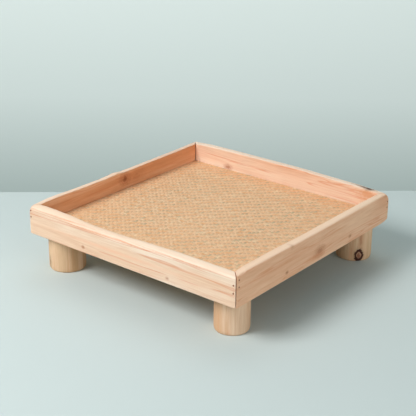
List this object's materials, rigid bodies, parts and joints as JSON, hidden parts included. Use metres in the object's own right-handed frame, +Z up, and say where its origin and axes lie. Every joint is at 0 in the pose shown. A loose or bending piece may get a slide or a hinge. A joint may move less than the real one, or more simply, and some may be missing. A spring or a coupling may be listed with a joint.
{
  "type": "footed tray",
  "caption": "Square wooden tray with a raised plank rim, a fine woven bamboo floor and short round log feet, for serving and display.",
  "frame": {"origin": "centre of the square footprint, on the surface that the feet stand on", "axes": "+Z up, +X and +Y along the rails, the front rail on the -Y side and the right rail on the +X side"},
  "size_m": [0.4, 0.4, 0.1079],
  "materials": {
    "rail_wood": "hand-planed pale wood, satin",
    "log_wood": "peeled log, dry satin",
    "board_wood": "thin plain board, unfinished",
    "bamboo_strip": "split bamboo strips, satin",
    "nail_iron": "dark aged iron",
    "screw_steel": "plain steel"
  },
  "bodies": {
    "root": {"front_rail": "rail_wood", "right_rail": "rail_wood", "back_rail": "rail_wood", "left_rail": "rail_wood", "left_foot": "log_wood", "front_foot": "log_wood", "right_foot": "log_wood", "back_foot": "log_wood", "nail_front_left_lower": "nail_iron", "nail_front_left_upper": "nail_iron", "nail_front_right_lower": "nail_iron", "nail_front_right_upper": "nail_iron", "nail_right_left_lower": "nail_iron", "nail_right_left_upper": "nail_iron", "nail_right_right_lower": "nail_iron", "nail_right_right_upper": "nail_iron", "nail_back_left_lower": "nail_iron", "nail_back_left_upper": "nail_iron", "nail_back_right_lower": "nail_iron", "nail_back_right_upper": "nail_iron", "nail_left_left_lower": "nail_iron", "nail_left_left_upper": "nail_iron", "nail_left_right_lower": "nail_iron", "nail_left_right_upper": "nail_iron", "left_foot_screw": "screw_steel", "front_foot_screw": "screw_steel", "right_foot_screw": "screw_steel", "back_foot_screw": "screw_steel", "base_board": "board_wood", "woven_mat": "bamboo_strip"}
  },
  "joints": []
}
